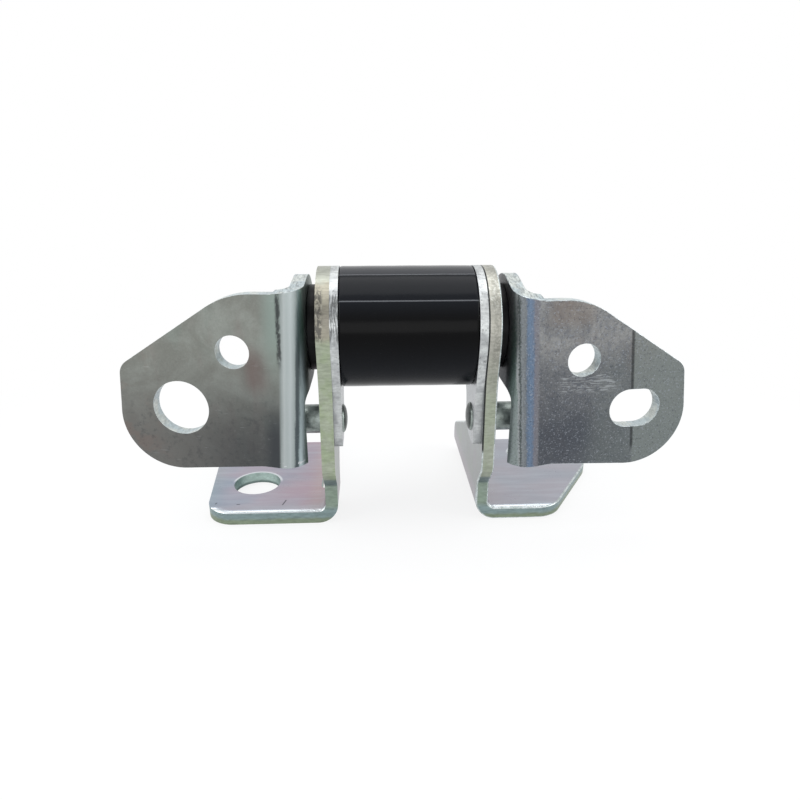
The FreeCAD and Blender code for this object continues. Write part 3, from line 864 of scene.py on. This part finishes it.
@dataclass
class Wings:
    """The door side's folded wings."""

    ear_to_mm: float = 33.6
    ear_front_mm: float = -12.0
    end_from_mm: float = 42.0
    outline_back: float = 0.35
    outline_up: float = 0.05
    fold_out_mm: float = 29.4
    round_mm: float = 0.35

    def left_marks(self, coat: Coat) -> None:
        """Painted shade low on the left wing, painted light, reflections and a glint at the fold, and a dark
        broken streak beside it.

        Args:
            coat: The coat.
        """
        paint, out, up = coat.paint, coat.out, coat.up
        fold = out + (up - 9.5) * 0.059
        # painted shade: the wing darker towards the bottom, more so further out
        low = Coat(paint, 124, 120, 116)
        low.lay(out.step(76.0, 46.0), 84, 84, 85)
        coat.lay(up.step(2.0, -34.0) * 0.85, low.shade)
        stain = paint.noise(0.16, 3.0, 0.6, 0.5)
        coat.lay(stain.step(0.5, 0.66) * out.step(68.0, 80.0) * 0.3, 150, 124, 114)
        coat.lay(out.band(43.5, 1.0, 5.0) * up.band(-8.0, 2.0, 7.0) * 0.55, 124, 100, 96)
        # painted light beside the fold high up, and painted shade beside it low down
        coat.lay(fold.step(42.5, 37.5) * up.step(-16.0, 4.0) * 0.8, 164, 178, 168)
        coat.lay(fold.step(41.5, 37.0) * up.step(-14.0, -28.0) * 0.7, 68, 72, 76)
        # painted reflections down the fold: a bright highlight band with darker and green bands before it,
        # one set above and one below, wandering a little
        wander = fold + self.ragged(paint, 0.7, 0.25)
        highlight_band = ((32.6, 218, 224, 222), (33.6, 206, 213, 210), (34.4, 214, 219, 216), (35.4, 170, 176, 172))
        above = coat.stripes(wander, (28.6, 118, 152, 132), (29.6, 150, 190, 168), (30.3, 150, 176, 168),
                             (30.9, 140, 158, 158), (31.6, 198, 206, 203), *highlight_band)
        below = coat.stripes(wander, (27.6, 112, 132, 118), (28.6, 154, 168, 160), (29.4, 216, 230, 230),
                             (30.0, 206, 220, 220), (30.5, 96, 106, 108), (31.2, 98, 106, 108),
                             (31.6, 188, 196, 193), *highlight_band)
        stripes = paint.mix(up.step(4.0, -6.0), above, below)
        coat.lay(fold.step(36.0, 35.2) * self.front(coat) * 0.9, stripes)
        wobble = paint.noise(0.9, 4.0, 0.7, stretch=(1, 1, 0.45)) - 0.5
        broken = paint.noise(1.1, 3.0, 0.6, stretch=(1, 1, 0.45)).step(0.3, 0.52)
        seam = (out + (up - 9.5) * 0.026 + wobble * 1.1).band(36.1, 0.25, 0.6) * broken
        coat.lay(seam * up.step(-9.0, -2.0) * up.step(17.0, 12.0) * 0.85, 56, 56, 58)
        smudge = paint.noise(0.55, 3.0, 0.65)
        lower = up.step(-10.0, -24.0) * fold.step(36.0, 38.0)
        coat.lay(smudge.step(0.5, 0.7) * lower * 0.3, 70, 72, 76)
        coat.lay(smudge.step(0.42, 0.28) * lower * 0.3, 128, 128, 126)
        # painted highlight: small white glints on the fold near the wing's bottom edge
        nick_and_glint = paint.noise(0.9, 1.0, 0.5).step(0.6, 0.64) * up.step(-36.0, -37.2) * fold.step(37.0, 35.5)
        coat.lay(nick_and_glint * 0.8, 244, 244, 244)

    def right_marks(self, coat: Coat) -> None:
        """Speckled metal, paler past a slanting crease; painted shade low down and in the crease; blue and
        green painted reflection stripes down the fold.

        Args:
            coat: The coat.
        """
        paint, out, up = coat.paint, coat.out, coat.up
        fold = out + (up - 9.0) * 0.066
        crease = out + (up - 9.0) * 0.12
        blotch = paint.noise(0.8, 4.0, 0.7)
        coat.lay(blotch.step(0.46, 0.66) * 0.45, 100, 106, 118)
        # painted shade: the wing darker towards the bottom, less so further out
        low_shade = Coat(paint, 82, 86, 94)
        low_shade.lay(out.step(50.0, 60.0), 112, 118, 118)
        coat.lay(up.step(0.0, -11.0) * 0.6, low_shade.shade)
        coat.lay(up.step(-12.0, -30.0) * 0.6, low_shade.shade)
        coat.lay(out.band(45.5, 4.0, 5.0) * up.band(12.0, 5.0, 5.0) * 0.35, 160, 140, 122)
        coat.lay(crease.step(63.2, 64.0) * 0.6, 152, 158, 152)
        # painted reflections down the fold in grey, blue and green bands, and painted light making them paler
        # low on the fold's inner side
        stripes = coat.stripes(
            fold + self.ragged(paint, 0.8, 1.1),
            (29.4, 124, 146, 136), (29.9, 134, 152, 142), (30.3, 196, 198, 196), (30.6, 168, 170, 168),
            (30.9, 76, 86, 82), (31.4, 158, 162, 163), (32.3, 136, 140, 142), (32.8, 120, 138, 160),
            (33.6, 124, 146, 172), (34.3, 124, 140, 162), (34.8, 142, 140, 148), (36.2, 144, 142, 144))
        pale = up.step(-10.0, -24.0) * fold.step(30.6, 30.0) * 0.8
        stripes = paint.mix(pale, stripes, colour(170, 178, 174))
        coat.lay(fold.step(36.4, 35.6) * self.front(coat) * 0.9, stripes)
        coat.lay(paint.noise(1.7, 2.0, 0.7).step(0.55, 0.68) * 0.45, 66, 68, 76)
        speck = paint.noise(1.9, 2.0, 0.7, shift=(0.05, 0.01, 0.02))
        coat.lay(speck.step(0.56, 0.68) * 0.5, 186, 190, 198)
        rub = paint.noise(2.2, 2.0, 0.6, stretch=(0.1, 1, 1)).step(0.5, 0.62)
        coat.lay(rub * up.band(-13.0, 2.2, 1.2) * out.band(52.5, 7.5, 2.0) * 0.7, 186, 188, 188)
        # painted shade: a thin broken dark line along the crease, stopping above the bottom edge
        crease_shade = crease.band(63.45, 0.14, 0.6) * up.step(-36.0, -33.5) * (blotch * 0.5 + 0.5).within()
        coat.lay(crease_shade, 54, 56, 56)

    def edge_marks(self, coat: Coat) -> None:
        """Drag lines and pits on the wings' cut edges near the ears.

        Args:
            coat: The coat.
        """
        near = coat.out.step(44.0, 36.0)
        drag = coat.paint.noise(1.1, 4.0, 0.7, 0.4, (1.6, 0.35, 1))
        coat.lay(drag.step(0.5, 0.6) * near * 0.6, 118, 124, 126)
        coat.lay(drag.step(0.4, 0.3) * near * 0.6, 250, 252, 250)

    def ragged(self, paint: Paint, slow_mm: float, fine_mm: float) -> Wire:
        """How far the stripes wander.

        Args:
            paint: The paint being built.
            slow_mm: Wander of long waves down the fold.
            fine_mm: Wander of the grain.

        Returns:
            The shift in millimetres.
        """
        slow = paint.noise(0.8, 2.0, 0.5, stretch=(1, 1, 0.12))
        fine = paint.noise(1.6, 2.0, 0.6)
        return (slow - 0.5) * slow_mm + (fine - 0.5) * fine_mm

    def front(self, coat: Coat) -> Wire:
        """One on the outside of the fold and the front of the wing, nought behind them.

        Args:
            coat: The coat.

        Returns:
            The mask.
        """
        face = node_box("wing_left")[0].y
        depth = coat.back - face + (coat.out - self.fold_out_mm) * 0.5
        return depth.step(6.5, 5.0)

    def is_cut(self, centre: np.ndarray, normal: np.ndarray) -> np.ndarray:
        """Cut faces: level or slanting ones round the outline, and the ear's rim.

        Args:
            centre: The faces' middles.
            normal: The faces' normals.

        Returns:
            True for each cut face.
        """
        out = np.abs(centre[:, 0])
        back = np.abs(normal[:, 1])
        up = np.abs(normal[:, 2])
        ear = out < self.ear_to_mm * MM
        behind = centre[:, 1] > PIVOT.y + self.ear_front_mm * MM
        ear_cut = ear & along_x(centre, normal) & (behind | (up > POINTS_ALONG))
        flat_cut = ~ear & (back < self.outline_back) & (up > self.outline_up)
        end_cut = ~ear & (out > self.end_from_mm * MM) & (back < POINTS_ALONG)
        return ear_cut | flat_cut | end_cut

    def build(self) -> None:
        """Build both wings."""
        faces = {
            Side.LEFT: ZincFace("wing_face_left", (168, 170, 161), (150, 150, 141),
                                ((0.3, 152, 140, 134), (0.3, 142, 156, 146)), 0.3, 0.38, self.left_marks),
            Side.RIGHT: ZincFace("wing_face_right", (174, 172, 168), (142, 141, 140),
                                 ((0.3, 152, 138, 130),), 0.8, 0.38, self.right_marks),
        }
        edge = CutEdge("wing_cut_edge", (216, 226, 226), (236, 238, 230), (1.0, 0.3, 1.0),
                       self.edge_marks).make()
        rim = WornRim("wing_rim", (226, 232, 232), (150, 156, 156)).make()
        for side in Side:
            SheetPiece("wing_" + side.word, faces[side].make(), edge, rim, "door_side", "wing_zinc",
                       self.is_cut, self.round_mm).build()


@dataclass
class TurnedParts:
    """Barrel, pin, bushes, washers and stop pins."""

    tube_radius_mm: float = 15.0
    chamfer_mm: tuple = (1.2, 0.05)
    chamfer_round_mm: tuple = (3.0, 0.5)
    burr_mm: float = 0.4
    washer_bore_mm: float = 6.2
    washer_round_mm: float = 0.4
    stop_dome_mm: float = 1.4
    stop_end_mm: tuple = ((0.5, 0.0), (0.12, 0.14), (0.0, 0.5))
    pin_head_mm: tuple = ((0.0, 0.0), (0.0, 4.2), (0.25, 6.0), (0.9, 7.6))
    pin_rim_mm: tuple = ((1.8, 0.3), (2.3, 0.0))
    pin_ear_mm: float = 33.4
    pin_bore_mm: float = 6.0

    def barrel(self) -> None:
        """The moulded cover, with soft end edges, slow waves and a small burr."""
        high = node_box("barrel_cover")[1]
        half, outer = high.x, high.z
        inner = self.tube_radius_mm
        long, deep = self.chamfer_mm
        soft, crisp = self.chamfer_round_mm
        rim = outer - deep
        ends = rounded(((-half, inner, 0), (half, inner, 0), (half, rim, crisp), (half - long, outer, soft),
                        (-half + long, outer, soft), (-half, rim, crisp)))
        split = max(index for index, (along, radius) in enumerate(ends) if along > 0)
        run = [(along, outer) for along in np.linspace(half - 2.0, -half + 2.0, 60)]
        section = ends[:split + 1] + run + ends[split + 1:]

        def flash(along: np.ndarray, radius: np.ndarray, angle: np.ndarray) -> np.ndarray:
            """Dip the outer skin by up to 0.06 mm in slow waves, and leave a small burr under the left end.

            The burr is a low hill about the lowest line, rippled along its length.
            """
            wave = np.sin(3 * angle + along * 0.21) * np.sin(along * 0.34 + 1.3)
            hill = np.exp(-((angle - 1.5 * math.pi) / 0.09) ** 2)
            hill *= np.exp(-((along + half - 3.0) / 2.6) ** 2)
            burr = hill * (self.burr_mm + self.burr_mm / 2 * np.sin(along * 5.0))
            return np.where(radius > inner + 1.0, radius - 0.03 * (1 + wave) + burr, radius)

        TurnedPiece("barrel_skin", "barrel_cover", "body_side", "black_moulding", BlackMoulding().make(),
                    section, PIVOT, 192, True, flash).build()

    def washers(self) -> None:
        """The black spacer washers, with soft rims."""
        matt = PlainSurface("washer_black", (14, 14, 15), (26, 26, 28), 0.0, 0.38, 0.3, 0.1).make()
        for side in Side:
            low, high = node_box("washer_" + side.word)
            section = rounded(((low.x, self.washer_bore_mm, 0), (high.x, self.washer_bore_mm, 0),
                               (high.x, high.z, self.washer_round_mm), (low.x, high.z, self.washer_round_mm)))
            TurnedPiece("washer_ring_" + side.word, "washer_" + side.word, "door_side",
                        "black_washer", matt, section, PIVOT).build()

    def stops(self) -> None:
        """The stop pins: a low dome inside, a plain stub outside, with painted shade inside the link plates.
        """
        # the stop steel takes painted shade inside the link plates' outer faces
        dark = PlainSurface("stop_steel", (180, 188, 180), (124, 130, 124), 0.85, 0.38, 0.8, 0.5,
                            abs(node_box("link_plate_left")[1].x) - 0.4).make()
        for side in Side:
            node = "stop_pin_" + side.word
            low, high = node_box(node)
            radius = (high.z - low.z) / 2
            axis = PIVOT + Vector((0, (low.y + high.y) / 2, (low.z + high.z) / 2)) * MM
            inner, outer = (high.x, low.x) if side is Side.LEFT else (low.x, high.x)
            way = side.value
            head = [(inner, 0.0)]
            head += [(inner + way * self.stop_dome_mm * (1 - math.cos(turn)), radius * math.sin(turn))
                     for turn in np.linspace(0.0, math.pi / 2, 9)[1:]]
            body = [(outer - way * back, radius - less) for back, less in self.stop_end_mm] + [(outer, 0.0)]
            TurnedPiece("stop_stub_" + side.word, node, "body_side", "dark_steel", dark,
                        head + body, axis, 64, False).build()

    def pin(self) -> None:
        """The hinge pin, with its two formed heads."""
        dark = PlainSurface("pin_steel", (160, 162, 158), (126, 128, 126), 0.9, 0.36, 0.8).make()
        high = node_box("hinge_pin")[1]
        far, radius = high.x, high.z
        half = [(far - back, size) for back, size in self.pin_head_mm]
        half += [(far - back, radius - less) for back, less in self.pin_rim_mm]
        half += [(self.pin_ear_mm, radius), (self.pin_ear_mm, self.pin_bore_mm)]
        section = half + [(-along, size) for along, size in reversed(half)]
        TurnedPiece("hinge_pin_turned", "hinge_pin", "door_side", "dark_steel", dark,
                    section, PIVOT, closed=False).build()

    def build(self) -> None:
        """Build every turned piece and dress the hidden nodes."""
        self.barrel()
        self.washers()
        self.stops()
        self.pin()
        steel = PlainSurface("tube_steel", (150, 150, 150), (110, 108, 104), 0.9, 0.4, 0.6).make()
        bronze = PlainSurface("bush_bronze_face", (176, 146, 100), (120, 96, 66), 0.9, 0.35, 0.5).make()
        for node, finish in (("barrel_tube", steel), ("pin_bush_left", bronze), ("pin_bush_right", bronze)):
            target = frame["nodes"][node]
            if not target.material_slots:
                target.data.materials.append(finish)
            for place in target.material_slots:
                place.link = "OBJECT"
                place.material = finish
            LOG.info("%s: dressed", node)


@dataclass
class Studio:
    """Camera, floor, world and soft lamps."""

    lens_pixels: float = 600.0
    image_pixels: float = 800.0
    sensor_mm: float = 36.0
    camera_mm: tuple = (-10.1, -181.81, 43.75)
    across: tuple = (0.99898, -0.0451, 0.0004)
    upward: tuple = (0.0155, 0.3502, 0.9365)
    floor_half_m: float = 3.0
    floor_drop_m: float = 0.0002
    floor_shade: tuple = (0.8, 0.8, 0.8, 1)
    shade_mm: tuple = (110.0, 230.0)
    glow_near: float = 0.82
    sky: tuple = (0.86, 0.9, 0.95, 1)
    sky_strength: float = 0.72

    def camera(self) -> None:
        """Place the camera at the photograph's angle."""
        data = bpy.data.cameras.new("photo_camera")
        data.sensor_fit = "HORIZONTAL"
        data.sensor_width = self.sensor_mm
        data.lens = self.lens_pixels / self.image_pixels * self.sensor_mm
        data.clip_start = 0.01
        data.clip_end = 20.0
        item = new_object("photo_camera", data)
        right = Vector(self.across).normalized()
        up = (Vector(self.upward) - right * right.dot(Vector(self.upward))).normalized()
        back = right.cross(up)
        turn = Matrix((right, up, back)).transposed().to_4x4()
        item.matrix_world = Matrix.Translation(PIVOT + Vector(self.camera_mm) * MM) @ turn
        bpy.context.scene.camera = item

    def seen(self, nodes: Nodes) -> Wire:
        """One for rays from the camera, or from metal or glass."""
        camera, metal, glass = (nodes.node("ShaderNodeLightPath", {}, {}, f"Is {kind} Ray")
                                for kind in ("Camera", "Glossy", "Transmission"))
        return camera.most(metal).most(glass)

    def floor(self) -> None:
        """A large pale floor that shows nearly white and keeps a soft shadow."""
        half = self.floor_half_m
        corners = ((-half, -half), (half, -half), (half, half), (-half, half))
        points = np.array([(x, y, -self.floor_drop_m) for x, y in corners])
        piece = new_piece("studio_floor", points, ((0, 1, 2, 3),))
        paint = Paint("floor_white")
        paint.finish(self.floor_shade, 0.0, Roughness=0.9, Specular_IOR_Level=0.0)
        here = paint.place((0, 0, 0))
        away = paint.node("ShaderNodeVectorMath", {"operation": "LENGTH"}, {0: here}, "Value")
        glow = away.step(*self.shade_mm) * (1.0 - self.glow_near) + self.glow_near
        paint.put(paint.output.inputs[0], paint.node("ShaderNodeMixShader", {}, {
            0: self.seen(paint) * glow,
            1: Wire(paint, paint.shader.outputs[0]),
            2: paint.node("ShaderNodeEmission", {}, {"Color": WHITE, "Strength": 1.0})}))
        piece.data.materials.append(paint.material)

    def world(self) -> None:
        """A plain pale surround: white to the camera and in metal, softer as light."""
        world = bpy.data.worlds.new("studio_world")
        bpy.context.scene.world = world
        world.use_nodes = True
        nodes = Nodes(world.node_tree)
        output = nodes.tree.nodes.new("ShaderNodeOutputWorld")
        nodes.put(output.inputs[0], nodes.node("ShaderNodeMixShader", {}, {
            0: self.seen(nodes),
            1: nodes.node("ShaderNodeBackground", {}, {"Color": self.sky, "Strength": self.sky_strength}),
            2: nodes.node("ShaderNodeBackground", {}, {"Color": WHITE, "Strength": 1.0})}))

    def lamp(self, name: str, place_mm: Sequence[float], aim_mm: Sequence[float], size_mm: Sequence[float],
             watts: float) -> None:
        """Hang one rectangular soft lamp.

        Args:
            name: The lamp's name.
            place_mm: Where it hangs, about the pin.
            aim_mm: Where it points, about the pin.
            size_mm: Width and height.
            watts: Its power.
        """
        data = bpy.data.lights.new(name, "AREA")
        data.shape = "RECTANGLE"
        data.size = size_mm[0] * MM
        data.size_y = size_mm[1] * MM
        data.energy = watts
        item = new_object(name, data)
        item.location = PIVOT + Vector(place_mm) * MM
        way = Vector(aim_mm) - Vector(place_mm)
        item.rotation_euler = way.to_track_quat("-Z", "Y").to_euler()

    def build(self) -> None:
        """Set up the whole studio."""
        self.camera()
        self.floor()
        self.world()
        self.lamp("overhead", (0, 60, 620), (0, 0, 0), (700, 500), 2.4)
        self.lamp("left_soft", (-520, -180, 260), (0, 0, -10), (380, 420), 1.65)
        self.lamp("right_soft", (540, -160, 240), (0, 0, -10), (380, 420), 1.65)
        self.lamp("front_low", (0, -560, 120), (0, 0, -20), (520, 200), 0.45)
        bpy.context.scene.view_settings.view_transform = "Standard"
        LOG.info("studio ready")


def main() -> None:
    """Build the hinge's looks in order."""
    for assembly in (Brackets(), Wings(), TurnedParts(), Studio()):
        assembly.build()


if __name__ == "__main__":
    main()
